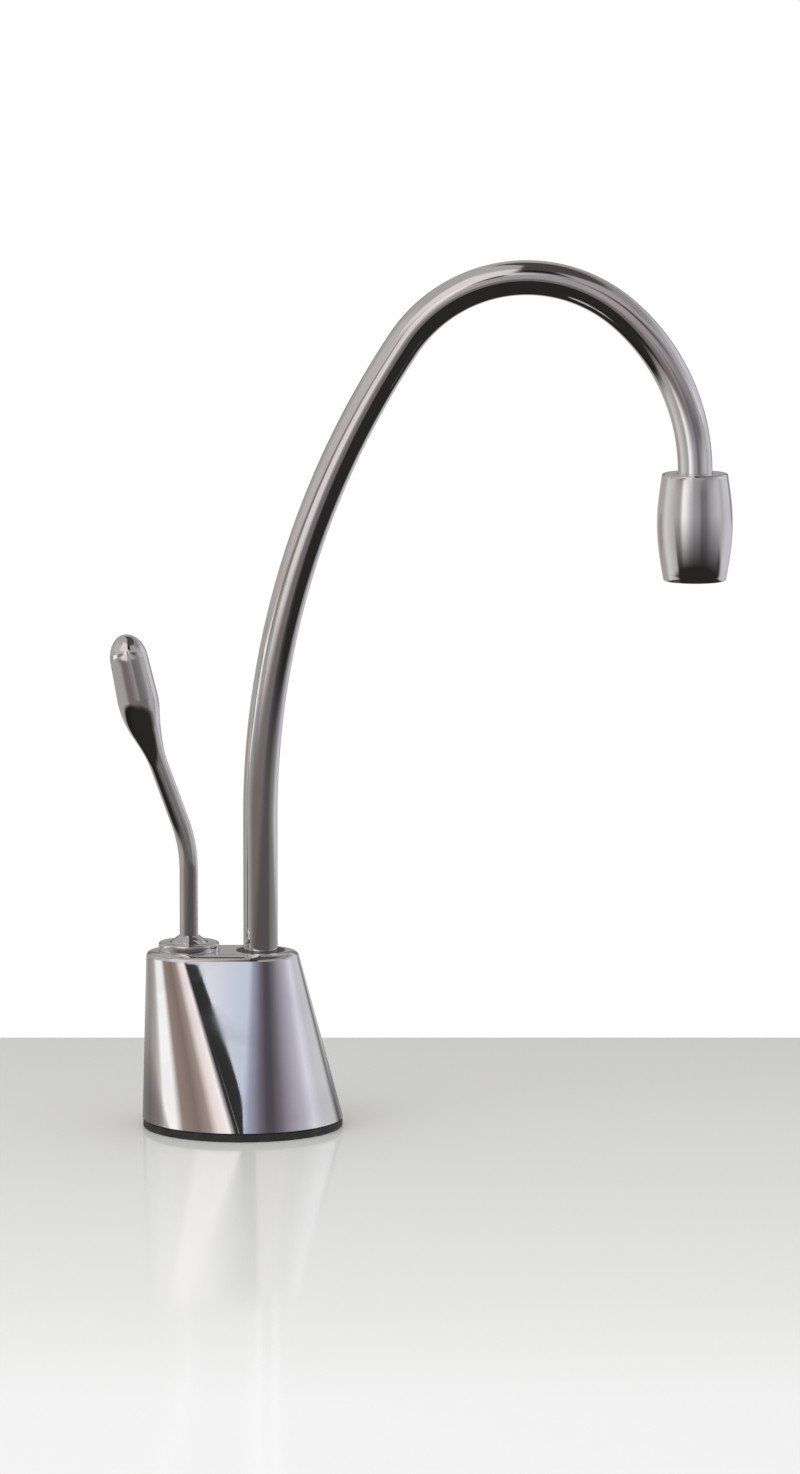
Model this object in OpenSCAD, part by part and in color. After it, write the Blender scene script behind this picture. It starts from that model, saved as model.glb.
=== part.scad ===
// Deck-mounted boiling water tap: a body that changes from a round base to an oval
// top, a gooseneck spout with a barrel nozzle, and a rocking lever beside the spout
// that pushes a spring-closed valve open. The tap is vented: the valve lets cold
// water into a tank under the sink, and the hot water comes back up to the spout.
// Origin: centre of the base on the worktop. +X points to the outlet, +Z up.

/* [Body] */
// Radius of the body's round base
base_r = 32; // [31.5:0.5:34]
// Height of the body's oval top above the worktop
body_top_z = 56.5; // [56.3:0.1:56.8]
// Radius of the oval top's two round ends
oval_r = 12.6; // [12.4:0.1:13.4]
// X of the oval's end on the lever's side
oval_back_x = -18; // [-19:0.5:-17.5]
// X of the oval's end on the spout's side
oval_front_x = 5; // [5:0.5:7]
// Radius of the rounded edge round the oval top
rim_r = 3; // [2:0.5:3]
// Thickness of the body's wall and top
wall = 2.6; // [2.2:0.1:2.8]

/* [Base and worktop fixing] */
// Thickness of the black gasket under the body
gasket_h = 2.5; // [2:0.1:2.5]
// Thickness of the plate that closes the body's foot
plate_h = 3.5; // [3.5:0.1:4]
// Radius of that plate
plate_r = 27.3; // [26.5:0.1:27.4]
// Outer radius of the hollow threaded shank, for a 35 mm hole in the worktop
shank_r = 14; // [13.8:0.1:14.2]
// Radius of the shank's bore, which the three pipes pass through
shank_bore_r = 11.5; // [11.4:0.1:12]
// How far the shank reaches below the worktop's surface
shank_drop = 55; // [52:1:80]
// Length of the shank's plain neck, which centres the tap in the worktop's hole
neck_len = 18; // [12:1:25]
// Thickness of the worktop that the tap is shown clamped to
worktop_t = 30; // [28:1:34]
// Distance across the flats of the fixing nut
nut_af = 38; // [36:1:46]

/* [Spout] */
// X of the axis that the spout turns on
spout_x = 5.8; // [5.5:0.1:6]
// Outer radius of the spout's tube
tube_r = 5.5; // [5.3:0.1:5.6]
// Wall of the spout's tube
tube_wall = 1; // [0.8:0.1:1.2]
// Height where the tube starts to bend
bend_z = 99; // [90:1:110]
// Radius of the long bend in the rising leg
rise_r = 273; // [260:1:290]
// Lean of the rising leg at the top of the long bend
rise_lean = 33.6; // [30:0.1:34]
// Radius of the bend over the top
top_r = 46.5; // [44:0.5:50]
// Heading of the tube, from straight up, where the top bend ends
top_lean = 130.5; // [125:0.5:135]
// Radius of the bend down into the nozzle
drop_r = 66; // [60:1:70]

/* [Nozzle] */
// Length of the barrel-shaped nozzle
nozzle_len = 34.2; // [34:0.1:40]
// Radius of the nozzle at its top edge
nozzle_top_r = 10.4; // [10.3:0.1:10.8]
// Radius of the nozzle at its widest
nozzle_mid_r = 12; // [11.6:0.1:12.6]
// Radius of the nozzle at its mouth
nozzle_mouth_r = 9.9; // [9.8:0.1:10.4]

/* [Lever] */
// X of the pin that the lever rocks on
lever_x = -17; // [-17.5:0.1:-17]
// Height of that pin
pivot_z = 54.8; // [54.7:0.1:54.9]
// Radius of the ball-shaped hub
ball_r = 7.2; // [7.1:0.05:7.2]
// Radius of the lever's stem
stem_r = 2.95; // [2.7:0.05:3.1]
// Radius of the lever's drop-shaped head
head_r = 6.55; // [6:0.05:7]
// Height where the stem starts to bend
lever_bend_z = 82; // [78:1:86]
// Lean of the stem, away from the spout
lever_lean = 20; // [16:1:22]
// Lean of the head
head_lean = 12; // [8:1:14]
// Length of the lever along its middle, from the ball's socket to the tip
lever_len = 103; // [101:0.2:106]

/* [Valve] */
// X of the valve's axis, beside the lever's pin so that the tilting hub pushes it
valve_x = -21; // [-21.2:0.1:-20.8]
// Radius of the valve's spindle
spindle_r = 1.5; // [1.4:0.05:1.5]
// Radius of the chamber that holds the spring
chamber_r = 3.8; // [3.8:0.05:4]
// Number of the spring's turns
spring_turns = 6; // [4:1:8]
// Radius of the spring's wire
spring_wire_r = 0.45; // [0.3:0.05:0.5]

/* [Pipes] */
// Radius of the holes for the two quarter-inch pipes, to and from the valve
small_pipe_r = 3.2; // [3.1:0.05:3.3]
// Radius of the hole for the hot pipe
hot_pipe_r = 4.05; // [3.9:0.05:4.1]
// How far a pipe pushes in
pipe_depth = 12; // [12:0.5:12.5]

/* [Hidden] */

// Facets of round things, and of the round ends that the body is stretched over
$fn = 64;
form_fn = 48;
// Gap of every turning or sliding fit, and of the screwed and brazed joints
fit_gap = 0.05;
// How far a cutting shape runs past the face that it cuts
cut = 1;

// Heights in the body
plate_top = gasket_h + plate_h;
ceiling_z = body_top_z - 1.25 * wall;
collar_bore_r = 9;
glide_r = 7.8;
boss_ring_r = 24;
boss_r = 3.2;
boss_top = 14;
screw_r = 1.5;
screw_head_r = 3;
screw_head_h = 1.7;
hex_key = 2;
lug_y = 17.5;
lug_r = 3.8;
lug_h = 4;
lug_screw_head_h = 3;

// Below the worktop
spigot_step = 0.5;
neck_groove_h = 2;
neck_groove_depth = 0.8;
rubber_washer_r = 23;
rubber_washer_h = 3;
steel_washer_r = 22.6;
steel_washer_h = 2;
nut_h = 10;
washer_play = 0.3;

// The valve block
block_r = 12.6;
block_top = 22;
barrel_r = 6.5;
barrel_top = 38;
web_w = 11;
seat_z = 24;
seat_h = 2;
seat_r = 2.2;
outlet_z = 29;
outlet_top = 31.5;
outlet_r = 2.6;
inlet_z = 17.5;
passage_r = 2;
gland_r = 3.6;
gland_z = 34;
gland_nut_h = 4;
gland_af = 9;
bridge_w = 8;
bridge_h = 12.5;
riser_r = 2.2;
hot_riser_r = 3;
riser_boss_r = 4;

// Pipe holes, seen down the shank: [x, y]
cold_at = [-4.4, -5.4];
feed_at = [-4.4, 5.4];
hot_at = [5.6, 0];
port_z = plate_top - 2;
collet_len = 7;
seal_len = 2;
small_collet_r = small_pipe_r + 1.1;
hot_collet_r = hot_pipe_r + 1.25;
port_end = port_z + pipe_depth;

// The spout's foot
socket_r = 7.5;
socket_wall_r = 10.3;
socket_z = 24;
socket_top = 46;
spigot_z = 25;
spigot_top = 48;
spigot_bore_r = 4.4;
groove_r = 5.9;
groove_h = 2.5;
seal_zs = [28.5, 33.5];
lock_z = 42;
lock_groove_r = 6.6;
lock_groove_h = 5;
set_screw_r = 2;
tube_foot_z = 38;

// Ends of the spout's bends
rise_end = [spout_x + rise_r * (1 - cos(rise_lean)), bend_z + rise_r * sin(rise_lean)];
top_end = rise_end
    + top_r * [cos(rise_lean) - cos(top_lean), sin(top_lean) - sin(rise_lean)];
drop_end = top_end + drop_r * [cos(top_lean) + 1, -sin(top_lean)];
outlet_x = drop_end[0];

// Heights in the nozzle, counted down from where the last bend ends
nozzle_top = drop_end[1] - tube_wall / 2;
mouth_z = nozzle_top - nozzle_len;
cap_t = 2.5;
thread_r = 8.6;
insert_r = thread_r - 2 * fit_gap;
lip_h = 5.4;
mouth_r = 7.2;
screen_h = 0.8;
screen_z = mouth_z + lip_h;
straightener_z = screen_z + screen_h;
straightener_h = 12;
washer_z = straightener_z + straightener_h;
washer_h = 2;
adapter_z = washer_z + washer_h;
adapter_top = nozzle_top - cap_t;
tube_end_z = adapter_z + 4;

// The lever's hub
seat_ball_r = ball_r + 6 * fit_gap;
ball_flat = 3.5;
socket_foot = 2.7;
collar_top = 59.2;
collar_foot = 47.5;
collar_r = 9.7;
collar_wall_r = 8.9;
collar_edge = 0.6;
pin_half = 8.6;
head_dome_r = 2;
dome_top = pivot_z - ball_flat - 2 * fit_gap;

// The valve's moving pieces
disc_r = 3.4;
disc_h = 2.5;
disc_top = seat_z - fit_gap;
retainer_h = 1.4;
retainer_z = disc_top - disc_h - retainer_h;
tail_len = 1.4;
end_plug_top = 10;

// ---- Shapes used by several pieces ----

// A round bar from z0 to z1
module bar(z0, z1, r) {
    translate([0, 0, z0])
        cylinder(h = z1 - z0, r = r);
}

// A ring from z0 to z1
module ring(z0, z1, outer_r, inner_r) {
    difference() {
        bar(z0, z1, outer_r);
        bar(z0 - cut, z1 + cut, inner_r);
    }
}

// A rubber ring that just fills the space from inner_r to outer_r
module o_ring(z, inner_r, outer_r) {
    cord_r = (outer_r - inner_r) / 2;
    translate([0, 0, z])
        rotate_extrude()
            translate([inner_r + cord_r, 0])
                circle(cord_r, $fn = 24);
}

// A hexagonal bar, measured across its flats
module hex_bar(z0, z1, across) {
    translate([0, 0, z0])
        cylinder(h = z1 - z0, r = across / 2 / cos(30), $fn = 6);
}

// Points of a ring of n points, radius r, centred at c and facing the way that
// leans by a from straight up, towards +X
function tilted_ring(c, r, a, n) = [
    for (i = [0 : n - 1])
        let (t = 360 * i / n)
        [c[0] + r * cos(t) * cos(a), c[1] + r * sin(t), c[2] - r * cos(t) * sin(a)]
];

// Faces that join a stack of rings, n points each, into one closed skin
function stack_faces(rings, n) = concat(
    [[for (i = [0 : n - 1]) i]],
    [
        for (k = [0 : rings - 2], i = [0 : n - 1])
            let (a = n * k + i, b = n * k + (i + 1) % n)
            each [[a, a + n, b], [b, a + n, b + n]]
    ],
    [[for (i = [n - 1 : -1 : 0]) n * (rings - 1) + i]]
);

function smooth_step(u) = u <= 0 ? 0 : u >= 1 ? 1 : u * u * (3 - 2 * u);

// ---- Body ----

// The body's form: straight lines join the round foot to the oval top
module body_form(inset, foot_z, top_z, edge_r) {
    hull() {
        translate([0, 0, foot_z])
            cylinder(h = 0.01, r = base_r - inset, $fn = form_fn);
        for (x = [oval_back_x, oval_front_x])
            translate([x, 0, top_z - edge_r])
                rotate_extrude($fn = form_fn)
                    translate([oval_r - inset - edge_r, 0])
                        circle(edge_r, $fn = 24);
    }
}

// Where the three screws hold the body on its plate
module at_bosses() {
    for (a = [0, 120, 240])
        rotate([0, 0, a])
            translate([boss_ring_r, 0, 0])
                children();
}

module body_shell() {
    color("silver")
    difference() {
        union() {
            difference() {
                body_form(0, gasket_h, body_top_z, rim_r);
                body_form(1.08 * wall, gasket_h - cut, ceiling_z, rim_r / 6);
            }
            at_bosses() bar(plate_top, boss_top, boss_r);
        }
        at_bosses() bar(plate_top - cut, boss_top - 2, screw_r);
        translate([lever_x, 0, 0]) bar(ceiling_z - cut, body_top_z + cut, collar_bore_r);
        translate([spout_x, 0, 0]) bar(ceiling_z - cut, body_top_z + cut, glide_r);
        // Key hole for the spout's lock screw, in the back of the body
        translate([spout_x, socket_wall_r, lock_z])
            rotate([-90, 0, 0]) cylinder(h = base_r, r = set_screw_r);
    }
}

module base_gasket() {
    color("black") ring(0, gasket_h, base_r - fit_gap * 4, shank_r + fit_gap * 4);
}

module base_plate() {
    color("goldenrod")
    difference() {
        bar(gasket_h, plate_top, plate_r);
        bar(gasket_h - cut, plate_top + cut, shank_r - spigot_step + fit_gap);
        at_bosses() {
            bar(gasket_h - cut, plate_top + cut, screw_r);
            bar(gasket_h - cut, gasket_h + screw_head_h, screw_head_r);
        }
        for (y = [-lug_y, lug_y])
            translate([0, y, 0]) bar(gasket_h - cut, plate_top + cut, screw_r);
    }
}

module base_screws() {
    color("darkgray")
    at_bosses()
    difference() {
        union() {
            bar(gasket_h, gasket_h + screw_head_h, screw_head_r);
            bar(gasket_h + screw_head_h, boss_top - 2.5, screw_r);
        }
        hex_bar(gasket_h - cut, gasket_h + screw_head_h - 0.5, hex_key);
    }
}

// ---- Worktop fixing ----

module mounting_shank() {
    color("goldenrod")
    difference() {
        union() {
            bar(-cut, plate_top, shank_r - spigot_step);
            bar(-neck_len, 0, shank_r);
            bar(-neck_len - neck_groove_h, -neck_len, shank_r - neck_groove_depth);
            bar(-shank_drop, -neck_len - neck_groove_h, shank_r);
        }
        bar(-shank_drop - cut, plate_top + cut, shank_bore_r);
    }
}

module deck_rubber_washer() {
    color("black")
    ring(-worktop_t - rubber_washer_h, -worktop_t, rubber_washer_r, shank_r + washer_play);
}

steel_washer_top = -worktop_t - rubber_washer_h;
nut_top = steel_washer_top - steel_washer_h;

module deck_steel_washer() {
    color("silver") ring(nut_top, steel_washer_top, steel_washer_r, shank_r + washer_play);
}

module mounting_nut() {
    color("goldenrod")
    difference() {
        hex_bar(nut_top - nut_h, nut_top, nut_af);
        bar(nut_top - nut_h - cut, nut_top + cut, shank_r + fit_gap);
    }
}

// ---- Valve block and its fixed pieces ----

// A level passage from the valve's axis to a pipe hole; from < 0 starts outside
module passage(target, z, from, to, r) {
    run = target - [valve_x, 0];
    translate([valve_x, 0, z])
        rotate([0, 90, atan2(run[1], run[0])])
            translate([0, 0, from])
                cylinder(h = to - from, r = r);
}

// One pipe hole, from the block's underside up to height end_z
module pipe_hole(at, collet_r, pipe_r, way_r, end_z) {
    translate([at[0], at[1], 0]) {
        bar(plate_top - cut, port_z + collet_len + seal_len, collet_r);
        bar(plate_top, port_end, pipe_r);
        bar(plate_top, end_z, way_r);
    }
}

module valve_block() {
    color("darkgoldenrod")
    difference() {
        union() {
            bar(plate_top, block_top, block_r);
            translate([valve_x, 0, 0]) bar(plate_top, barrel_top, barrel_r);
            translate([valve_x, -web_w / 2, plate_top])
                cube([-valve_x, web_w, block_top - plate_top]);
            translate([spout_x, 0, 0]) bar(block_top - 2, socket_top, socket_wall_r);
            translate([feed_at[0], feed_at[1], 0]) bar(block_top - 2, gland_z, riser_boss_r);
            // Bridge that carries the passage from the valve to the tank feed
            translate([valve_x, 0, block_top - 1])
                rotate([0, 0, atan2(feed_at[1], feed_at[0] - valve_x)])
                    translate([0, -bridge_w / 2, 0])
                        cube([norm(feed_at - [valve_x, 0]), bridge_w, bridge_h]);
            for (y = [-lug_y, lug_y])
                translate([0, y, 0]) bar(plate_top, plate_top + lug_h, lug_r);
            translate([-lug_r + cut, -lug_y, plate_top])
                cube([2 * (lug_r - cut), 2 * lug_y, lug_h]);
        }
        translate([valve_x, 0, 0]) {
            bar(plate_top - cut, seat_z + seat_h, chamber_r);
            bar(seat_z, outlet_top + cut, outlet_r);
            bar(outlet_top, barrel_top + cut, gland_r);
        }
        translate([spout_x, 0, 0]) bar(socket_z, socket_top + cut, socket_r);
        pipe_hole(cold_at, small_collet_r, small_pipe_r, riser_r, inlet_z + riser_r);
        pipe_hole(feed_at, small_collet_r, small_pipe_r, riser_r, outlet_z + riser_r);
        pipe_hole(hot_at, hot_collet_r, hot_pipe_r, hot_riser_r, socket_z + cut);
        passage(cold_at, inlet_z, -barrel_r - cut, norm(cold_at - [valve_x, 0]), passage_r);
        passage(feed_at, outlet_z, -barrel_r - cut, norm(feed_at - [valve_x, 0]), passage_r);
        translate([spout_x, 0, lock_z])
            rotate([-90, 0, 0]) cylinder(h = socket_wall_r + cut, r = set_screw_r);
        for (y = [-lug_y, lug_y])
            translate([0, y, 0]) bar(plate_top - cut, plate_top + lug_h + cut,
                                    screw_r + 4 * fit_gap);
    }
}

lug_screw_top = plate_top + lug_h + lug_screw_head_h;

module block_screws() {
    color("darkgray")
    for (y = [-lug_y, lug_y])
        translate([0, y, 0])
        difference() {
            union() {
                bar(gasket_h + 4 * fit_gap, plate_top + lug_h, screw_r);
                bar(plate_top + lug_h, lug_screw_top, 0.92 * screw_head_r);
            }
            hex_bar(lug_screw_top - lug_screw_head_h / 2, lug_screw_top + cut, hex_key);
        }
}

// Plugs in the open ends of the two level passages
module passage_plugs() {
    color("goldenrod") {
        for (way = [[cold_at, inlet_z], [feed_at, outlet_z]])
            passage(way[0], way[1], -barrel_r + passage_r / 6, -chamber_r - passage_r / 5,
                    passage_r);
    }
}

module valve_end_plug() {
    color("goldenrod")
    translate([valve_x, 0, 0])
    difference() {
        bar(plate_top, end_plug_top, chamber_r);
        hex_bar(plate_top - cut, (plate_top + end_plug_top) / 2, 1.5 * hex_key);
    }
}

module valve_seat() {
    color("gainsboro")
    translate([valve_x, 0, 0])
    ring(seat_z, seat_z + seat_h, chamber_r, seat_r);
}

module gland_nut() {
    color("goldenrod")
    translate([valve_x, 0, 0])
    difference() {
        union() {
            bar(gland_z, barrel_top + cut, gland_r - fit_gap);
            hex_bar(barrel_top, barrel_top + gland_nut_h, gland_af);
        }
        bar(gland_z - cut, barrel_top + gland_nut_h + cut, spindle_r + fit_gap);
    }
}

module stem_o_ring() {
    color("black")
    translate([valve_x, 0, 0])
    o_ring((outlet_top + gland_z) / 2, spindle_r + fit_gap, gland_r - 2 * fit_gap);
}

module collet(at, outer_r, inner_r) {
    translate([at[0], at[1], 0])
    ring(port_z, port_z + collet_len, outer_r, inner_r);
}

module cold_inlet_collet() {
    color("royalblue") collet(cold_at, small_collet_r, small_pipe_r);
}

module tank_feed_collet() {
    color("white") collet(feed_at, small_collet_r, small_pipe_r);
}

module hot_return_collet() {
    color("firebrick") collet(hot_at, hot_collet_r, hot_pipe_r);
}

module port_o_rings() {
    seal_z = port_z + collet_len + seal_len / 2;
    color("black") {
        for (at = [cold_at, feed_at])
            translate([at[0], at[1], 0]) o_ring(seal_z, small_pipe_r, small_collet_r);
        translate([hot_at[0], hot_at[1], 0]) o_ring(seal_z, hot_pipe_r, hot_collet_r);
    }
}

// ---- Lever ----

module lever_collar() {
    color("silver")
    translate([lever_x, 0, 0])
    difference() {
        union() {
            bar(collar_foot, body_top_z + cut, collar_wall_r);
            bar(body_top_z, collar_top - collar_edge, collar_r);
            bar(body_top_z, collar_top, collar_r - collar_edge);
        }
        translate([0, 0, pivot_z]) sphere(seat_ball_r);
        bar(collar_foot - cut, pivot_z, seat_ball_r);
        translate([0, 0, pivot_z])
            rotate([90, 0, 0])
                cylinder(h = 2 * collar_r + cut, r = screw_r, center = true);
    }
}

module pivot_pin() {
    color("darkgray")
    translate([lever_x, 0, pivot_z])
        rotate([90, 0, 0])
            cylinder(h = 2 * pin_half, r = screw_r, center = true);
}

module lever_ball() {
    color("silver")
    translate([lever_x, 0, pivot_z])
    difference() {
        sphere(ball_r);
        translate([0, 0, -ball_flat - ball_r]) cube(2 * ball_r, center = true);
        bar(socket_foot, ball_r + cut, stem_r);
        rotate([90, 0, 0])
            cylinder(h = 2 * ball_r + cut, r = screw_r + fit_gap, center = true);
    }
}

// The lever's middle line: straight up, an arc to the stem's lean, straight, and a
// second arc back to the head's lean. s runs along it from the foot in the ball.
lever_foot = [lever_x, 0, pivot_z + socket_foot + 2 * fit_gap];
stem_bend_r = 47;
head_bend_r = 45;
straight_len = lever_bend_z - lever_foot[2];
stem_arc_len = stem_bend_r * lever_lean * PI / 180;
lean_len = 31;
head_arc_len = head_bend_r * (lever_lean - head_lean) * PI / 180;
lean_start = straight_len + stem_arc_len;
head_start = lean_start + lean_len;

function lean_at(s) =
    s < straight_len ? 0
    : s < lean_start ? (s - straight_len) / stem_bend_r * 180 / PI
    : s < head_start ? lever_lean
    : max(head_lean, lever_lean - (s - head_start) / head_bend_r * 180 / PI);

// How far the middle line has moved sideways and up when it reaches s
function lever_point(s) =
    s <= straight_len ? lever_foot + [0, 0, s]
    : s <= lean_start ? lever_point(straight_len)
        + stem_bend_r * [cos(lean_at(s)) - 1, 0, sin(lean_at(s))]
    : s <= head_start ? lever_point(lean_start)
        + (s - lean_start) * [-sin(lever_lean), 0, cos(lever_lean)]
    : s <= head_start + head_arc_len ? lever_point(head_start)
        + head_bend_r * [
            cos(lever_lean) - cos(lean_at(s)),
            0,
            sin(lever_lean) - sin(lean_at(s))
        ]
    : lever_point(head_start + head_arc_len)
        + (s - head_start - head_arc_len) * [-sin(head_lean), 0, cos(head_lean)];

// The stem swells into the drop-shaped head and ends in a round tip
swell_start = 60;
swell_len = 22;
tip_len = 8;
taper = 0.75;

function lever_radius(s) =
    let (
        swell = smooth_step((s - swell_start) / swell_len),
        past = max(0, (s - swell_start - swell_len) / (lever_len - swell_start - swell_len)),
        tip = max(0, (s - lever_len + tip_len) / tip_len)
    )
    (stem_r + (head_r - stem_r) * swell - taper * past) * sqrt(max(0.002, 1 - tip * tip));

// Stations along the lever: few on the stem, closer on the bends, swell and tip
stations = concat(
    [0, straight_len],
    [for (i = [1 : 6]) straight_len + stem_arc_len * i / 6],
    [for (i = [0 : 11]) swell_start + swell_len * i / 11],
    [for (i = [1 : 4]) swell_start + swell_len
        + (lever_len - tip_len - swell_start - swell_len) * i / 4],
    [for (i = [1 : 7]) lever_len - tip_len + tip_len * sin(90 * i / 7)]
);
lever_sides = 24;

module lever() {
    points = [for (s = stations) each tilted_ring(lever_point(s), lever_radius(s), -lean_at(s),
                                                  lever_sides)];
    color("silver")
    difference() {
        polyhedron(points, stack_faces(len(stations), lever_sides));
        at_marker() bar(-marker_h, head_r, marker_r);
    }
}

// A small inlay in the back of the head, near its tip
marker_r = 2.2;
marker_h = 0.8;
marker_s = lever_len - 10;

module at_marker() {
    translate(lever_point(marker_s))
        rotate([0, -90 - head_lean, 0])
            translate([0, 0, lever_radius(marker_s) - 0.35])
                children();
}

module hot_marker() {
    color("firebrick") at_marker() bar(-marker_h, 0, marker_r);
}

// ---- Valve's moving pieces ----

module valve_stem() {
    color("gainsboro")
    translate([valve_x, 0, 0]) {
        bar(retainer_z - tail_len, dome_top - head_dome_r - 2, spindle_r);
        bar(dome_top - head_dome_r - 2, dome_top - head_dome_r, head_dome_r);
        translate([0, 0, dome_top - head_dome_r])
            intersection() {
                sphere(head_dome_r);
                bar(0, head_dome_r, head_dome_r);
            }
    }
}

module valve_disc() {
    color("black")
    translate([valve_x, 0, 0])
    ring(disc_top - disc_h, disc_top, disc_r, spindle_r);
}

module spring_retainer() {
    color("goldenrod")
    translate([valve_x, 0, 0])
    ring(retainer_z, retainer_z + retainer_h, disc_r, spindle_r);
}

spring_r = 2.8;
spring_z = end_plug_top + spring_wire_r;
spring_rise = retainer_z - spring_wire_r - spring_z;
spring_pitch = spring_rise / spring_turns;
echo(least_gap_between_turns = spring_pitch - 2 * spring_wire_r);
curl_rings = 8;
wire_sides = 6;

// Ring k of the spring's wire, square to a helix that climbs one pitch a turn
function wire_ring(k) =
    let (
        t = 360 * k / curl_rings,
        climb = atan2(spring_pitch, 2 * PI * spring_r),
        along = [-sin(t) * cos(climb), cos(t) * cos(climb), sin(climb)],
        out = [cos(t), sin(t), 0],
        up = cross(out, along)
    )
    [
        for (i = [0 : wire_sides - 1])
            let (a = 360 * i / wire_sides)
            spring_r * out + [0, 0, spring_z + spring_pitch * k / curl_rings]
                + spring_wire_r * (cos(a) * out - sin(a) * up)
    ];

module valve_spring() {
    rings = spring_turns * curl_rings + 1;
    color("gray")
    translate([valve_x, 0, 0])
        polyhedron([for (k = [0 : rings - 1]) each wire_ring(k)],
                   stack_faces(rings, wire_sides));
}

// ---- Spout ----

// Stations [x, z, heading] along a bend that starts at p = [x, z]. Headings are
// measured from straight up, over the outlet's side.
function bend_stations(p, r, from, to, steps) = [
    for (i = [1 : steps])
        let (h = from + (to - from) * i / steps)
        [p[0] + r * (cos(from) - cos(h)), p[1] + r * (sin(h) - sin(from)), h]
];

tube_stations = concat(
    [[spout_x, tube_foot_z, 0], [spout_x, bend_z, 0]],
    bend_stations([spout_x, bend_z], rise_r, 0, rise_lean, 12),
    bend_stations(rise_end, top_r, rise_lean, top_lean, 18),
    bend_stations(top_end, drop_r, top_lean, 180, 9),
    [[outlet_x, tube_end_z, 180]]
);
tube_sides = 32;

// Faces of a pipe whose stations each hold n outer points and then n inner points
function pipe_faces(rings, n) = concat(
    [
        for (i = [0 : n - 1])
            let (j = (i + 1) % n)
            [i, j, n + j, n + i]
    ],
    [
        for (k = [0 : rings - 2], i = [0 : n - 1])
            let (a = 2 * n * k + i, b = 2 * n * k + (i + 1) % n)
            each [[a, a + 2 * n, b], [b, a + 2 * n, b + 2 * n]]
    ],
    [
        for (k = [0 : rings - 2], i = [0 : n - 1])
            let (a = 2 * n * k + n + i, b = 2 * n * k + n + (i + 1) % n)
            each [[a, b, a + 2 * n], [b, b + 2 * n, a + 2 * n]]
    ],
    [
        for (i = [0 : n - 1])
            let (j = (i + 1) % n, end = 2 * n * (rings - 1))
            [end + i, end + n + i, end + n + j, end + j]
    ]
);

module spout_tube() {
    points = [
        for (s = tube_stations, r = [tube_r, tube_r - tube_wall])
            each tilted_ring([s[0], 0, s[1]], r, s[2], tube_sides)
    ];
    color("silver") polyhedron(points, pipe_faces(len(tube_stations), tube_sides));
}

module spout_spigot() {
    color("goldenrod")
    translate([spout_x, 0, 0])
    difference() {
        bar(spigot_z, spigot_top, socket_r - fit_gap);
        bar(spigot_z - cut, spigot_top + cut, spigot_bore_r);
        bar(tube_foot_z - fit_gap, spigot_top + cut, tube_r + fit_gap);
        for (z = seal_zs)
            ring(z, z + groove_h, socket_r + cut, groove_r);
        ring(lock_z - lock_groove_h / 2, lock_z + lock_groove_h / 2,
             socket_r + cut, lock_groove_r);
    }
}

module spout_o_rings() {
    color("black")
    translate([spout_x, 0, 0])
    for (z = seal_zs)
        o_ring(z + groove_h / 2, groove_r + fit_gap, socket_r - fit_gap);
}

module spout_glide_ring() {
    color("black")
    translate([spout_x, 0, 0])
    ring(ceiling_z, body_top_z + 2 * fit_gap, glide_r, tube_r + fit_gap);
}

module spout_set_screw() {
    color("darkgray")
    translate([spout_x, 0, lock_z])
    rotate([-90, 0, 0])
    difference() {
        bar(lock_groove_r + 6 * fit_gap, socket_wall_r, set_screw_r);
        hex_bar(socket_wall_r - 1.5, socket_wall_r + cut, hex_key);
    }
}

// ---- Nozzle ----

// A round profile that bulges from the mouth to the top edge
barrel_steps = 14;
function barrel_radius(u) =
    let (edge = nozzle_mouth_r + (nozzle_top_r - nozzle_mouth_r) * u)
    edge + (nozzle_mid_r - (nozzle_top_r + nozzle_mouth_r) / 2) * sin(180 * u);

module nozzle_shell() {
    soft = 0.8;
    outline = concat(
        [[0, 0], [nozzle_mouth_r - soft, 0]],
        [for (i = [0 : barrel_steps])
            let (u = i / barrel_steps)
            [barrel_radius(u), soft + u * (nozzle_len - 2 * soft)]],
        [[nozzle_top_r - soft, nozzle_len], [0, nozzle_len]]
    );
    color("silver")
    translate([outlet_x, 0, 0])
    difference() {
        translate([0, 0, mouth_z]) rotate_extrude() polygon(outline);
        bar(mouth_z - cut, screen_z, mouth_r);
        bar(screen_z, adapter_top, thread_r);
        bar(adapter_top - cut, nozzle_top + cut, tube_r + 4 * fit_gap);
    }
}

module nozzle_adapter() {
    color("goldenrod")
    translate([outlet_x, 0, 0])
    difference() {
        bar(adapter_z, adapter_top, thread_r - fit_gap);
        bar(adapter_z - cut, adapter_top + cut, tube_r - tube_wall);
        bar(tube_end_z - fit_gap, adapter_top + cut, tube_r + fit_gap);
    }
}

module nozzle_washer() {
    color("black")
    translate([outlet_x, 0, 0])
    ring(washer_z, washer_z + washer_h, insert_r, tube_r);
}

module flow_straightener() {
    way_r = 1.1;
    pitch = 2.9;
    color("white")
    translate([outlet_x, 0, 0])
    difference() {
        bar(straightener_z, washer_z, insert_r);
        bar(straightener_z - cut, washer_z + cut, way_r);
        for (turn = [1, 2], i = [1 : 6 * turn])
            rotate([0, 0, 60 * i / turn])
                translate([pitch * turn, 0, 0])
                    bar(straightener_z - cut, washer_z + cut, way_r);
    }
}

module nozzle_screen() {
    wire = 0.4;
    pitch = 1.6;
    color("gray")
    translate([outlet_x, 0, 0]) {
        ring(screen_z, straightener_z, insert_r, mouth_r);
        for (turn = [0, 90], i = [-4 : 4])
            rotate([0, 0, turn])
                translate([pitch * i, 0, screen_z + screen_h / 2])
                    cube([wire, 2 * sqrt(pow(mouth_r + 0.3, 2) - pow(pitch * i, 2)), wire],
                         center = true);
    }
}

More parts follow.
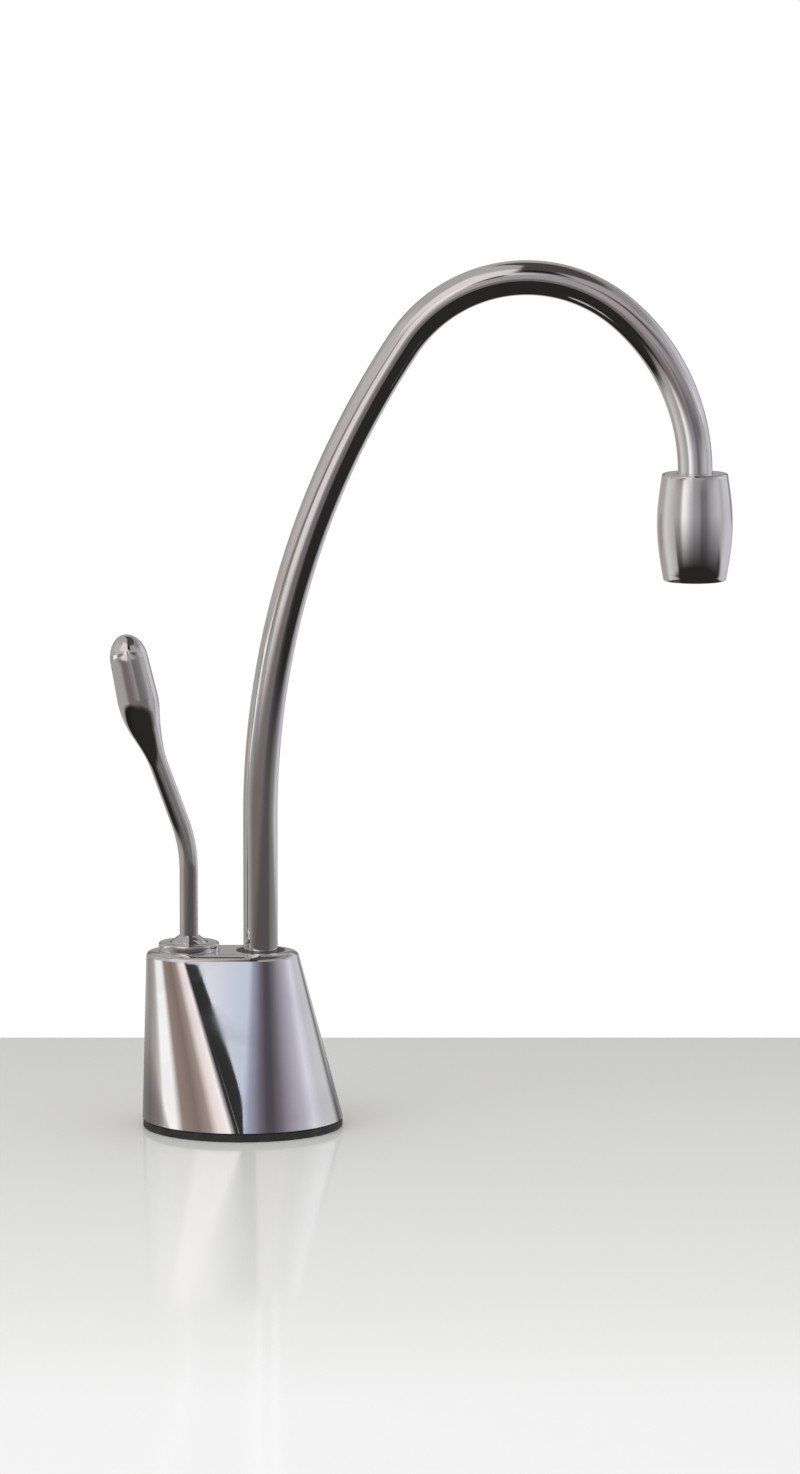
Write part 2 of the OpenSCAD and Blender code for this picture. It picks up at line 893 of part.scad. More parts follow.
body_shell();
base_gasket();
base_plate();
base_screws();
mounting_shank();
deck_rubber_washer();
deck_steel_washer();
mounting_nut();
valve_block();
block_screws();
passage_plugs();
valve_end_plug();
valve_seat();
gland_nut();
stem_o_ring();
cold_inlet_collet();
tank_feed_collet();
hot_return_collet();
port_o_rings();
spout_glide_ring();
spout_set_screw();
lever_collar();
pivot_pin();
lever();
lever_ball();
hot_marker();
valve_stem();
valve_disc();
spring_retainer();
valve_spring();
spout_tube();
spout_spigot();
spout_o_rings();
nozzle_adapter();
nozzle_shell();
nozzle_washer();
flow_straightener();
nozzle_screen();
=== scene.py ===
"""Boiling water tap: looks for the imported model, piece by piece in the order of assembly."""

import math

import bmesh
import bpy
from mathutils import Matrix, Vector


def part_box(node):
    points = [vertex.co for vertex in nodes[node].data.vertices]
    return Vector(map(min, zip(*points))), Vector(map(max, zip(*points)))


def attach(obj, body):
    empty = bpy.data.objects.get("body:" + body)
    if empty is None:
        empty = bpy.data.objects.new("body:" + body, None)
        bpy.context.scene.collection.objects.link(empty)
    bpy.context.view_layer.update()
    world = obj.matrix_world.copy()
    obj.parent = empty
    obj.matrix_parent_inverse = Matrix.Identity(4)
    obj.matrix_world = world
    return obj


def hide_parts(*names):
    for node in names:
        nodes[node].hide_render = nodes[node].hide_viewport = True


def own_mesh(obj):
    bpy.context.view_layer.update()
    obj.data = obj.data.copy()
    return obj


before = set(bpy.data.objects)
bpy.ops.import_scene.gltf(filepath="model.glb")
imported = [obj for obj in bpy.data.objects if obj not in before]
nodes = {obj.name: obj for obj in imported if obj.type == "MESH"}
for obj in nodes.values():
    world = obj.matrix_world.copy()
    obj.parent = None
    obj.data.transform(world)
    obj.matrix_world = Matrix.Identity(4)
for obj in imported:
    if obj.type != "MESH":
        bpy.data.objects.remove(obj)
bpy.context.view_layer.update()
scene = bpy.context.scene
scene.view_settings.view_transform = "Standard"


# ---- Camera ----
# The photograph's view: a long lens a little above the tap, square to its bend. The
# picture takes in frame_height metres from top to bottom at the tap.
view_target = Vector((0.0502, 0.0, 0.1249))
view_distance = 2.5
view_elevation = math.radians(7.5)
frame_height = 0.4679

camera_data = bpy.data.cameras.new("camera")
camera_data.sensor_width = 36.0
camera_data.lens = camera_data.sensor_width * view_distance / frame_height
camera = bpy.data.objects.new("camera", camera_data)
camera.location = view_target + view_distance * Vector(
    (0.0, -math.cos(view_elevation), math.sin(view_elevation)))
camera.rotation_euler = (math.pi / 2 - view_elevation, 0.0, 0.0)
scene.collection.objects.link(camera)
scene.camera = camera


# ---- Worktop and room ----
# A pale glossy worktop with a straight back edge, in a plain white room. Its colour has
# painted shade: it grows darker from the front towards the back edge. The chrome doesn't
# mirror this worktop: the studio and its cards stand in for it.
def put(tree, kind, inputs=None, **settings):
    """A shader node with its settings, and its sockets set or linked by name."""
    node = tree.nodes.new(kind)
    for key, value in settings.items():
        setattr(node, key, value)
    for key, value in (inputs or {}).items():
        if isinstance(value, bpy.types.NodeSocket):
            tree.links.new(value, node.inputs[key])
        else:
            node.inputs[key].default_value = value
    return node


def remap(tree, value, low, high, to_low=0.0, to_high=1.0, shape="LINEAR"):
    """A value's range drawn out to another range, and kept inside it."""
    return put(tree, "ShaderNodeMapRange", {
        "Value": value, "From Min": low, "From Max": high, "To Min": to_low, "To Max": to_high},
        interpolation_type=shape).outputs["Result"]


def ramp(tree, factor, stops):
    """A colour that goes through stops of (place, colour)."""
    node = put(tree, "ShaderNodeValToRGB", {"Fac": factor})
    elements = node.color_ramp.elements
    while len(elements) < len(stops):
        elements.new(0.5)
    for element, (place, colour) in zip(elements, stops):
        element.position = place
        element.color = (*colour, 1.0)
    return node.outputs["Color"]


def over(tree, factor, below, above):
    """One colour laid over another by a factor."""
    return put(tree, "ShaderNodeMix", {"Factor": factor, "A": below, "B": above},
               data_type="RGBA").outputs["Result"]


def back_side(tree):
    """1 where a face is seen from behind, else 0."""
    return put(tree, "ShaderNodeNewGeometry").outputs["Backfacing"]


def blank_material(name):
    """A material with an empty node tree."""
    material = bpy.data.materials.new(name)
    material.use_nodes = True
    material.node_tree.nodes.clear()
    return material, material.node_tree


def link_mesh(name, verts, faces):
    """A smooth-shaded object from plain lists of points and faces."""
    mesh = bpy.data.meshes.new(name)
    mesh.from_pydata([tuple(v) for v in verts], [], faces)
    mesh.validate()
    mesh.polygons.foreach_set("use_smooth", [True] * len(mesh.polygons))
    piece = bpy.data.objects.new(name, mesh)
    scene.collection.objects.link(piece)
    return piece


worktop_left, worktop_right = -1.6, 1.6
worktop_front, worktop_back = -2.0, 0.165
painted_shade_front = -0.41
speckle_colour = (0.45, 0.44, 0.42, 1.0)

worktop = link_mesh("worktop", [
    (worktop_left, worktop_front, 0.0), (worktop_right, worktop_front, 0.0),
    (worktop_right, worktop_back, 0.0), (worktop_left, worktop_back, 0.0)], [(0, 1, 2, 3)])
material, tree = blank_material("worktop")
place = put(tree, "ShaderNodeTexCoord").outputs["Object"]
depth = put(tree, "ShaderNodeSeparateXYZ", {"Vector": place}).outputs["Y"]
# Painted shade: the worktop's colour darkens from the front line back to its back edge
shade = ramp(tree, remap(tree, depth, painted_shade_front, worktop_back), [
    (0.0, (1.0, 1.0, 1.0)), (0.23, (0.88, 0.885, 0.875)), (0.5, (0.81, 0.815, 0.805)),
    (0.72, (0.76, 0.765, 0.755)), (1.0, (0.68, 0.685, 0.675))])
grains = put(tree, "ShaderNodeTexNoise", {"Vector": place, "Scale": 900.0, "Detail": 3.0})
speckle = remap(tree, grains.outputs["Fac"], 0.62, 0.75, 0.0, 0.06)
surface = put(tree, "ShaderNodeBsdfPrincipled", {
    "Base Color": over(tree, speckle, shade, speckle_colour), "Roughness": 0.10,
    "Specular IOR Level": 0.4})
under = put(tree, "ShaderNodeBsdfTransparent")
seen = put(tree, "ShaderNodeMixShader", {
    0: back_side(tree), 1: surface.outputs[0], 2: under.outputs[0]})
put(tree, "ShaderNodeOutputMaterial", {"Surface": seen.outputs[0]})
worktop.data.materials.append(material)
worktop.visible_glossy = False

world = bpy.data.worlds.new("white_room")
scene.world = world
world.use_nodes = True
world.node_tree.nodes.clear()
room = put(world.node_tree, "ShaderNodeBackground",
           {"Color": (1.0, 1.0, 1.0, 1.0), "Strength": 1.0})
put(world.node_tree, "ShaderNodeOutputWorld", {"Surface": room.outputs[0]})


# ---- Studio ----
# The studio that the chrome mirrors: a large ball that only glossy rays see. Its colour
# goes by direction: soft cards and walls, a ring of screens round the tap, dark below.
def calculate(tree, operation, *values):
    """A value worked out from others."""
    return put(tree, "ShaderNodeMath", dict(enumerate(values)), operation=operation).outputs[0]


def product(tree, result, *factors):
    """Several values multiplied together."""
    for factor in factors:
        result = calculate(tree, "MULTIPLY", result, factor)
    return result


def fade(tree, value, none, full):
    """0 where a value is at none, rising softly to 1 where it is at full."""
    return remap(tree, value, none, full, shape="SMOOTHSTEP")


def span(tree, value, low, high, soft):
    """1 between two values, with soft ends."""
    return product(tree, fade(tree, value, low - soft / 2, low + soft / 2),
                   fade(tree, value, high + soft / 2, high - soft / 2))


def directions(tree, vector):
    """A vector's parts, and its turn to the right of the camera as 0 to 1 and as degrees."""
    axes = put(tree, "ShaderNodeSeparateXYZ", {"Vector": vector}).outputs
    front = calculate(tree, "MULTIPLY", axes["Y"], -1.0)
    turn = calculate(tree, "ARCTAN2", axes["X"], front)
    degrees = calculate(tree, "MULTIPLY", turn, 180.0 / math.pi)
    return axes, remap(tree, turn, -math.pi, math.pi), degrees


def by_turn(stops):
    """Colours by degrees to the right of the camera, as the stops of a ramp."""
    return [((angle + 180.0) / 360.0, colour) for angle, colour in stops]


def above_line(tree, around, height, stops):
    """Degrees above a line that is given by its height at stops round the tap."""
    greys = [(angle, ((up + 90.0) / 180.0,) * 3) for angle, up in stops]
    line = remap(tree, ramp(tree, around, by_turn(greys)), 0.0, 1.0, -90.0, 90.0)
    return calculate(tree, "SUBTRACT", height, line)


def show_to_chrome(piece, material, cover, colour):
    """A piece that only glossy rays see: it glows where it has cover, else is clear."""
    tree = material.node_tree
    clear = put(tree, "ShaderNodeBsdfTransparent")
    glow = put(tree, "ShaderNodeEmission", {"Color": colour})
    seen = put(tree, "ShaderNodeMixShader", {0: cover, 1: clear.outputs[0], 2: glow.outputs[0]})
    put(tree, "ShaderNodeOutputMaterial", {"Surface": seen.outputs[0]})
    piece.data.materials.append(material)
    piece.visible_camera = False
    piece.visible_diffuse = False
    piece.visible_shadow = False
    piece.visible_transmission = False


studio_radius = 7.0
studio_middle = (0.05, 0.0, 0.12)

# Cards and walls, laid one over another on the bare wall. Each spans (left, right,
# softness) round the tap and (bottom, top, softness) above the horizon, in degrees.
wall_colour = (0.42, 0.405, 0.395, 1.0)
cards = {
    "left wall": ((-150, -30, 36), (-90, 62, 16), (0.40, 0.38, 0.365)),
    "left card": ((-111, -30, 24), (9, 43, 15), (0.50, 0.47, 0.46)),
    "front wall": ((-28, 61, 24), (-90, 72, 12), (0.37, 0.335, 0.33)),
    "right wall": ((98, 150, 24), (-90, 29, 12), (0.58, 0.56, 0.60)),
    "right wall top": ((62, 165, 20), (36, 70, 12), (0.285, 0.26, 0.27)),
    "softbox front left": ((-59, 0, 12), (27, 66, 10), (0.74, 0.69, 0.675)),
    "dark front corner": ((-3, 19, 5), (39, 90, 10), (0.018, 0.014, 0.013)),
    "low card left": ((-46, -10, 9), (-4, 22, 7), (0.72, 0.685, 0.67)),
    "low card right": ((29, 68, 19), (1, 30, 10), (0.26, 0.24, 0.25)),
    "worktop shade": ((-69, 65, 49), (-26, -2, 11), (0.175, 0.15, 0.145)),
    "low shade right": ((12, 56, 12), (-14, 7, 8), (0.165, 0.15, 0.16)),
    "left wall foot": ((-140, -50, 20), (-40, -12, 8), (0.385, 0.365, 0.355)),
    "back wall band": ((150, 210, 16), (1, 22, 5), (0.20, 0.18, 0.175)),
    "back wall gap": ((170, 190, 8), (4, 12, 4), (0.36, 0.34, 0.335)),
    "ceiling": ((-200, 200, 1), (56, 100, 10), (0.072, 0.06, 0.056))}

# The lower edge of the room, which is black below it: (degrees to the right, degrees up)
floor_colour = (0.010, 0.009, 0.008, 1.0)
edge_soft = 4.0
edge_line = [(-180, -36), (-140, -31), (-110, -27), (-80, -22), (-50, -18), (-20, -17.5),
             (0, -16.5), (10, -14), (26, -12.5), (62, -12.5), (82, -14.5), (95, -18), (107, -23),
             (125, -29), (180, -36)]

# Screens stood round the tap, just where the straight sides of its body look. They are full
# up to screen_inner degrees off that line, and end at screen_outer. Over side_height the
# body narrows by side_in, and meanwhile its left half moves out by lean_left, and its right
# half by lean_right and, towards its end, by swell_right.
screen_inner, screen_outer = 3.5, 5.5
side_height, side_in = 54.0, 19.4
lean_left, lean_right, swell_right = 18.0, 2.5, 2.5
view_down = math.radians(9.7)


def mirrored(turned):
    """Where the camera looks by the body's side there: degrees to the right, degrees up."""
    across, front = math.sin(math.radians(turned)), math.cos(math.radians(turned))
    left, right = max(-across, 0.0), max(across, 0.0)
    rise = side_in - left * lean_left - right * (lean_right + right * swell_right)
    length = math.hypot(side_height, rise)
    normal = (side_height * across / length, -side_height * front / length, rise / length)
    view = (0.0, math.cos(view_down), -math.sin(view_down))
    facing = sum(part * other for part, other in zip(view, normal))
    x, y, z = [part - 2.0 * facing * other for part, other in zip(view, normal)]
    return math.degrees(math.atan2(x, -y)), math.degrees(math.asin(z))


screen_line = [mirrored(turned) for turned in range(-90, 91, 6)]
screens = [
    (-180, (0.55, 0.53, 0.50)), (-150, (0.40, 0.37, 0.34)), (-132, (0.30, 0.27, 0.25)),
    (-112, (0.42, 0.38, 0.36)), (-104, (0.60, 0.57, 0.54)), (-98, (1.0, 0.98, 0.95)),
    (-80, (1.0, 0.98, 0.95)), (-70, (0.30, 0.235, 0.20)), (-50, (0.23, 0.17, 0.148)),
    (-36, (0.36, 0.28, 0.255)), (-27, (0.85, 0.74, 0.70)), (-14, (1.0, 0.92, 0.90)),
    (-10.5, (0.40, 0.36, 0.36)), (-7, (0.03, 0.03, 0.03)), (-3.7, (0.03, 0.03, 0.03)),
    (-2.6, (0.96, 0.97, 1.0)), (-1.7, (0.61, 0.64, 0.75)), (7, (0.35, 0.37, 0.47)),
    (21, (0.16, 0.15, 0.19)), (30, (0.085, 0.07, 0.085)), (38, (0.085, 0.07, 0.085)),
    (48, (0.16, 0.14, 0.165)), (58, (0.29, 0.26, 0.30)), (67, (0.38, 0.35, 0.41)),
    (80, (0.50, 0.48, 0.55)), (94, (0.72, 0.71, 0.78)), (110, (0.58, 0.57, 0.61)),
    (134, (0.60, 0.60, 0.61)), (146, (0.16, 0.15, 0.15)), (160, (0.55, 0.55, 0.55)),
    (180, (0.55, 0.55, 0.55))]

studio_mesh = bpy.data.meshes.new("studio")
builder = bmesh.new()
bmesh.ops.create_uvsphere(builder, u_segments=96, v_segments=48, radius=studio_radius)
builder.to_mesh(studio_mesh)
builder.free()
studio = bpy.data.objects.new("studio", studio_mesh)
scene.collection.objects.link(studio)
studio.location = studio_middle

material, tree = blank_material("studio")
direction = put(tree, "ShaderNodeVectorMath",
                {0: put(tree, "ShaderNodeTexCoord").outputs["Object"]}, operation="NORMALIZE")
axes, around, degrees_right = directions(tree, direction.outputs[0])
degrees_back = calculate(tree, "FLOORED_MODULO", degrees_right, 360.0)
height = calculate(tree, "MULTIPLY", calculate(tree, "ARCSINE", axes["Z"]), 180.0 / math.pi)
colour = wall_colour
for across, upward, shade in cards.values():
    turned = degrees_back if across[1] > 180 else degrees_right
    mask = product(tree, span(tree, turned, *across), span(tree, height, *upward))
    colour = over(tree, mask, colour, (*shade, 1.0))
off_line = calculate(tree, "ABSOLUTE", above_line(tree, around, height, screen_line))
colour = over(tree, fade(tree, off_line, screen_outer, screen_inner), colour,
              ramp(tree, around, by_turn(screens)))
over_edge = above_line(tree, around, height, edge_line)
colour = over(tree, fade(tree, over_edge, -edge_soft, edge_soft), floor_colour, colour)
show_to_chrome(studio, material, back_side(tree), colour)


# ---- Dark mat ----
# A round dark mat on the worktop, in front of the tap on its right. Only the chrome
# sees it: it darkens the foot of the spout and the collar.
def round_card(name, radius, height):
    """A flat disc that lies face up."""
    angles = [math.radians(turned) for turned in range(0, 360, 5)]
    rim = [(radius * math.cos(angle), radius * math.sin(angle), height) for angle in angles]
    return link_mesh(name, rim, [list(range(len(rim)))])


def from_middle(tree):
    """The distance from a piece's own middle."""
    place = put(tree, "ShaderNodeTexCoord").outputs["Object"]
    return put(tree, "ShaderNodeVectorMath", {0: place}, operation="LENGTH").outputs["Value"]


def front_side(tree):
    """1 where a face is seen from its front, else 0."""
    return calculate(tree, "SUBTRACT", 1.0, back_side(tree))


mat_r, mat_soft, mat_strength = 0.50, 0.12, 0.55
mat_place = (0.24, -0.20, 0.0)
mat_colour = (0.035, 0.03, 0.03, 1.0)

dark_mat = round_card("dark_mat", mat_r + mat_soft, 0.0)
dark_mat.location = mat_place
material, tree = blank_material("dark_mat")
inside = fade(tree, from_middle(tree), mat_r + mat_soft, mat_r - mat_soft)
show_to_chrome(dark_mat, material, product(tree, inside, mat_strength, front_side(tree)),
               mat_colour)


# ---- Worktop gleam ----
# The pale worktop close round the tap, as the chrome sees it from above. Its gleam fades
# with distance and at low angles, so that the arch and the lever stay dark below.
def ray_length(tree):
    """How far away the surface is that mirrors this one."""
    return put(tree, "ShaderNodeLightPath").outputs["Ray Length"]


def slant(tree):
    """0 where a face is seen square on, and 1 where it is seen edge on."""
    return put(tree, "ShaderNodeLayerWeight", {"Blend": 0.5}).outputs["Facing"]


gleam_r, gleam_z = 0.17, 0.0002
gleam_near, gleam_far = 0.085, 0.145
gleam_steep, gleam_low = 0.65, 0.80
gleam_colour = (0.60, 0.585, 0.57, 1.0)

gleam = round_card("worktop_gleam", gleam_r, gleam_z)
material, tree = blank_material("worktop_gleam")
show_to_chrome(gleam, material, product(
    tree, fade(tree, from_middle(tree), gleam_r, gleam_r / 2),
    fade(tree, ray_length(tree), gleam_far, gleam_near),
    fade(tree, slant(tree), gleam_low, gleam_steep), front_side(tree)), gleam_colour)


# ---- Tent ----
# A striped paper tent close round the front of the nozzle. It is seen from near only, so
# it puts its stripes on the nozzle and the end of the tube, and on nothing else.
nozzle_x = 0.1435
tent_r, tent_low, tent_high = 0.062, 0.150, 0.250

# Where it ends: by distance, by (left, right, softness) in degrees, by height, and where
# it is seen at a slant
tent_near, tent_far = 0.058, 0.067
tent_span = (-108, 76, 22)
foot_clear, foot_full, head_full, head_clear = 0.153, 0.158, 0.210, 0.226
tent_square, tent_slanted = 0.11, 0.20

# Its stripes, by degrees to the right. Towards its foot they turn dark, apart from those
# at its left end.
dark_z, bright_z = 0.156, 0.197
dark_turn, bright_turn = -52, -62
tent_dark = (0.02, 0.018, 0.016, 1.0)
stripes = [(-115, (0.46, 0.45, 0.44)), (-93, (0.66, 0.63, 0.61)), (-77, (0.56, 0.53, 0.51)),
           (-62, (0.43, 0.41, 0.39)), (-47, (0.37, 0.35, 0.34)), (-42, (0.55, 0.53, 0.51)),
           (-36, (1.0, 0.97, 0.95)), (-28, (0.92, 0.89, 0.87)), (-16, (0.58, 0.54, 0.54)),
           (-4, (0.35, 0.33, 0.335)), (9, (0.30, 0.285, 0.295)), (18, (0.16, 0.145, 0.16)),
           (30, (0.19, 0.175, 0.195)), (46, (0.38, 0.365, 0.38)), (90, (0.66, 0.66, 0.68))]

tent_angles = [math.radians(turned) for turned in range(-125, 96, 5)]
tent = link_mesh("tent", [
    (tent_r * math.sin(angle), -tent_r * math.cos(angle), z)
    for z in (tent_low, tent_high) for angle in tent_angles],
    [(k, k + 1, k + 1 + len(tent_angles), k + len(tent_angles))
     for k in range(len(tent_angles) - 1)])
tent.location = (nozzle_x, 0.0, 0.0)
material, tree = blank_material("tent")
axes, around, degrees_right = directions(tree, put(tree, "ShaderNodeTexCoord").outputs["Object"])
cover = product(
    tree, span(tree, degrees_right, *tent_span), fade(tree, ray_length(tree), tent_far, tent_near),
    fade(tree, axes["Z"], foot_clear, foot_full), fade(tree, axes["Z"], head_clear, head_full),
    fade(tree, slant(tree), tent_slanted, tent_square), back_side(tree))
bright = calculate(tree, "MAXIMUM", remap(tree, axes["Z"], dark_z, bright_z),
                   fade(tree, degrees_right, dark_turn, bright_turn))
paper = over(tree, bright, tent_dark, ramp(tree, around, by_turn(stripes)))
show_to_chrome(tent, material, cover, paper)


# ---- Line card ----
# A long black wedge of card in front of the body. The flat facet there mirrors it, as the
# right half of the black line down its left edge. It can't be seen from further away, or
# at a slant.
def millimetres(*values):
    """Lengths in millimetres, as metres."""
    return [value / 1000.0 for value in values]


line_near, line_far = 0.101, 0.104
line_square, line_slanted = 0.030, 0.045
line_colour = (0.03, 0.03, 0.03, 1.0)

line_card = link_mesh("line_card", [
    millimetres(-24.1, -98.9, 107.1), millimetres(-18.7, -98.9, 107.1),
    millimetres(8.9, -124.0, 38.4), millimetres(-0.9, -124.0, 38.4)], [(0, 1, 2, 3)])
material, tree = blank_material("line_card")
show_to_chrome(line_card, material, product(
    tree, fade(tree, ray_length(tree), line_far, line_near),
    fade(tree, slant(tree), line_slanted, line_square)), line_colour)


# ---- Lamp ----
# One large soft lamp, high on the left in front of the tap. No metal mirrors it: it
# lights the rubber, the plastic and the worktop, and casts the tap's soft shadow.
lamp_width, lamp_height, lamp_power = 1.4, 1.0, 9.0
lamp_place = (-0.9, -1.0, 1.6)

lamp_data = bpy.data.lights.new("softbox", "AREA")
lamp_data.shape = "RECTANGLE"
lamp_data.size = lamp_width
lamp_data.size_y = lamp_height
lamp_data.energy = lamp_power
lamp = bpy.data.objects.new("softbox", lamp_data)
lamp.location = lamp_place
lamp.rotation_euler = (view_target - lamp.location).to_track_quat("-Z", "Y").to_euler()
lamp.visible_glossy = False
scene.collection.objects.link(lamp)


# ---- Mounting shank ----
# Hollow brass stud, turned and threaded, screwed into the base plate. Its plain neck
# sits in the worktop's hole.
shank_low, shank_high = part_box("mounting_shank")
shank_r, shank_bore, spigot_r, neck_r = millimetres(14.0, 11.5, 13.5, 13.2)
neck_foot, groove_foot = millimetres(-18.0, -20.0)
thread_pitch, thread_depth = millimetres(1.5, 0.75)
thread_rows, thread_sides, thread_crest = 8, 96, 1.25
fine_edge, small_edge, soft_edge = millimetres(0.2, 0.3, 0.4)


def rounded(corners, steps=6):
    """A closed outline through corners of (radius, height, fillet)."""
    outline = []
    for i, (r, z, fillet) in enumerate(corners):
        here = Vector((r, z))
        if fillet == 0:
            outline.append(here)
            continue
        before = Vector(corners[i - 1][:2]) - here
        after = Vector(corners[(i + 1) % len(corners)][:2]) - here
        half = before.angle(after) / 2
        reach = min(fillet / math.tan(half), 0.49 * before.length, 0.49 * after.length)
        fillet = reach * math.tan(half)
        middle = here + (before.normalized() + after.normalized()).normalized() * (
            fillet / math.sin(half))
        start = here + before.normalized() * reach - middle
        end = here + after.normalized() * reach - middle
        sweep = start.angle(end)
        for k in range(steps + 1):
            t = k / steps
            spoke = (start * math.sin((1 - t) * sweep) + end * math.sin(t * sweep))
            outline.append(middle + spoke / math.sin(sweep))
    return outline


def tidy(piece, sharp=35.0):
    """Welds doubled points, turns faces outward and keeps real edges crisp."""
    builder = bmesh.new()
    builder.from_mesh(piece.data)
    bmesh.ops.remove_doubles(builder, verts=builder.verts, dist=1e-7)
    bmesh.ops.recalc_face_normals(builder, faces=builder.faces)
    for edge in builder.edges:
        if len(edge.link_faces) == 2 and edge.calc_face_angle(0.0) > math.radians(sharp):
            edge.smooth = False
    builder.to_mesh(piece.data)
    builder.free()
    return piece


def lathe(name, outline, centre=(0.0, 0.0), sides=128):
    """A solid turned from a closed outline of (radius, height)."""
    count = len(outline)
    verts, faces = [], []
    for k in range(sides):
        angle = 2 * math.pi * k / sides
        for point in outline:
            verts.append((centre[0] + point[0] * math.cos(angle),
                          centre[1] + point[0] * math.sin(angle), point[1]))
        for i in range(count):
            a, b = k * count + i, k * count + (i + 1) % count
            c, d = (b + count) % (sides * count), (a + count) % (sides * count)
            faces.append((a, b, c, d))
    return tidy(link_mesh(name, verts, faces))


def threaded(name, radius, bore, z_low, z_high, sides):
    """A hollow stud with a real helical thread between two heights."""
    turns = (z_high - z_low) / thread_pitch
    rows = int(turns * thread_rows)
    verts, faces = [], []
    for row in range(rows + 1):
        for k in range(sides):
            angle = 2 * math.pi * k / sides
            z = z_low + (z_high - z_low) * row / rows
            wave = abs(((z / thread_pitch - k / sides) % 1.0) * 2 - 1)
            run_out = min(1.0, (z - z_low) / thread_pitch, (z_high - z) / thread_pitch)
            r = radius - thread_depth * (1 - min(1.0, thread_crest * wave) * run_out)
            verts.append((r * math.cos(angle), r * math.sin(angle), z))
    for row in range(rows):
        for k in range(sides):
            a, b = row * sides + k, row * sides + (k + 1) % sides
            faces.append((a, b, b + sides, a + sides))
    inner = len(verts)
    for z in (z_low, z_high):
        for k in range(sides):
            angle = 2 * math.pi * k / sides
            verts.append((bore * math.cos(angle), bore * math.sin(angle), z))
    for k in range(sides):
        j = (k + 1) % sides
        faces.append((inner + k, inner + sides + k, inner + sides + j, inner + j))
        faces.append((k, inner + k, inner + j, j))
        top = rows * sides
        faces.append((top + k, top + j, inner + sides + j, inner + sides + k))
    return tidy(link_mesh(name, verts, faces), sharp=50.0)


def effect(name, inputs, outputs):
    """An empty node group with named values going in and coming out."""
    group = bpy.data.node_groups.new(name, "ShaderNodeTree")
    for key, value in inputs.items():
        socket = group.interface.new_socket(key, in_out="INPUT", socket_type="NodeSocketFloat")
        socket.default_value = value
    for key in outputs:
        group.interface.new_socket(key, in_out="OUTPUT", socket_type="NodeSocketFloat")
    return group, put(group, "NodeGroupInput").outputs


# Turned metal: rings that a lathe tool leaves round an upright axis, and faint stains
turned_metal, given = effect("turned_metal", {"Axis X": 0.0, "Rings": 2600.0, "Stain": 0.3},
                             ["Shade", "Height"])
place = put(turned_metal, "ShaderNodeTexCoord").outputs["Object"]
axes = put(turned_metal, "ShaderNodeSeparateXYZ", {"Vector": place}).outputs
off_axis = calculate(turned_metal, "SUBTRACT", axes["X"], given["Axis X"])
across = put(turned_metal, "ShaderNodeCombineXYZ", {"X": off_axis, "Y": axes["Y"]})
radius = put(turned_metal, "ShaderNodeVectorMath", {0: across.outputs[0]}, operation="LENGTH")
along = calculate(turned_metal, "ADD", radius.outputs["Value"], axes["Z"])
rings = put(turned_metal, "ShaderNodeTexNoise", {
    "W": product(turned_metal, along, given["Rings"]), "Scale": 1.0, "Detail": 3.0},
    noise_dimensions="1D").outputs["Fac"]
stain = put(turned_metal, "ShaderNodeTexNoise", {"Vector": place, "Scale": 130.0, "Detail": 6.0})
spots = product(turned_metal, stain.outputs["Fac"], given["Stain"])
put(turned_metal, "NodeGroupOutput", {
    "Shade": calculate(turned_metal, "MULTIPLY_ADD", rings, 0.35, spots), "Height": rings})


def use(tree, group, **inputs):
    """An effect placed in a material."""
    node = put(tree, "ShaderNodeGroup", node_tree=group)
    for key, value in inputs.items():
        node.inputs[key.replace("_", " ")].default_value = value
    return node.outputs


def surface_of(material, colour, roughness, height, relief, depth, metallic):
    """A material's shader: its colour, its roughness and a bump."""
    tree = material.node_tree
    normal = put(tree, "ShaderNodeBump", {
        "Height": height, "Strength": relief, "Distance": depth}).outputs["Normal"]
    shader = put(tree, "ShaderNodeBsdfPrincipled", {
        "Base Color": colour, "Metallic": metallic, "Roughness": roughness, "Normal": normal})
    put(tree, "ShaderNodeOutputMaterial", {"Surface": shader.outputs[0]})
    return material


def metal(name, bright, dull, roughness, axis_x=0.0, rings=2600.0):
    """Machined metal, bright on the ridges of its tool marks."""
    material, tree = blank_material(name)
    marks = use(tree, turned_metal, Axis_X=axis_x, Rings=rings, Stain=0.5)
    tint = ramp(tree, marks["Shade"], [(0.2, dull), (0.65, bright)])
    rough = remap(tree, marks["Shade"], 0.2, 0.7, roughness + 0.12, roughness)
    return surface_of(material, tint, rough, marks["Height"], relief=0.25, depth=0.00004,
                      metallic=1.0)


def brass(name, axis_x=0.0, rings=2600.0):
    """Turned brass."""
    return metal(name, (0.83, 0.62, 0.29), (0.55, 0.37, 0.15), 0.24, axis_x, rings)


def coat(piece, material):
    """Gives a piece one finish in place of what it had."""
    piece.data.materials.clear()
    piece.data.materials.append(material)


def fit_out(piece, body, material, node):
    """Gives a piece its finish and its body, and hides the solid that it stands for."""
    coat(piece, material)
    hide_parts(node)
    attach(piece, body)


shank_brass = brass("shank_brass", rings=1800.0)
neck = lathe("shank_neck", rounded([
    (shank_bore, groove_foot, 0), (neck_r, groove_foot, 0), (neck_r, neck_foot, 0),
    (shank_r, neck_foot, small_edge), (shank_r, 0.0, fine_edge), (spigot_r, 0.0, 0),
    (spigot_r, shank_high.z, soft_edge), (shank_bore, shank_high.z, soft_edge)]))
fit_out(neck, "tap_body", shank_brass, "mounting_shank")
thread = threaded("shank_thread", shank_r, shank_bore, shank_low.z, groove_foot, thread_sides)
fit_out(thread, "tap_body", shank_brass, "mounting_shank")


# ---- Base plate and its screws ----
# Turned brass plate that carries the shank and the valve block, and closes the foot.
# Three countersunk stainless screws hold the body on it.
def steel(name, axis_x=0.0, rings=3200.0):
    """Turned stainless steel."""
    return metal(name, (0.72, 0.72, 0.73), (0.44, 0.44, 0.46), 0.22, axis_x, rings)


